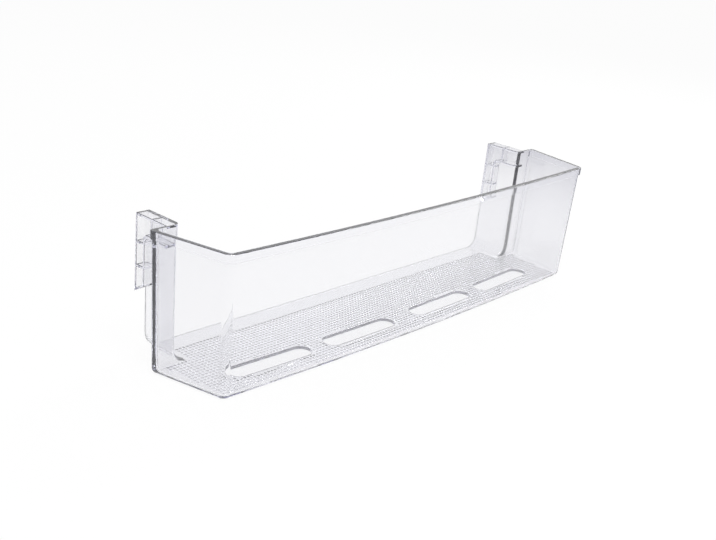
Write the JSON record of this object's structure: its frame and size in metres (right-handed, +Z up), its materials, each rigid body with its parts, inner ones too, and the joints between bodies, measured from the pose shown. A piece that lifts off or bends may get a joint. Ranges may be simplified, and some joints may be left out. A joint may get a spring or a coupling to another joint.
{
  "type": "fridge door shelf",
  "caption": "Clear moulded refrigerator door shelf: bowed front wall, drained floor, open back and ribbed hook brackets at the rear ends.",
  "frame": {"origin": "middle of the shelf's outline on the plane that its underside rests on", "axes": "+X along the shelf's length, -Y towards the bowed front wall, +Y towards the door, +Z up"},
  "size_m": [0.455, 0.1072, 0.108],
  "materials": {
    "clear_plastic": "clear, polished, with a dotted floor"
  },
  "bodies": {
    "root": {"door_shelf": "clear_plastic"}
  },
  "joints": []
}
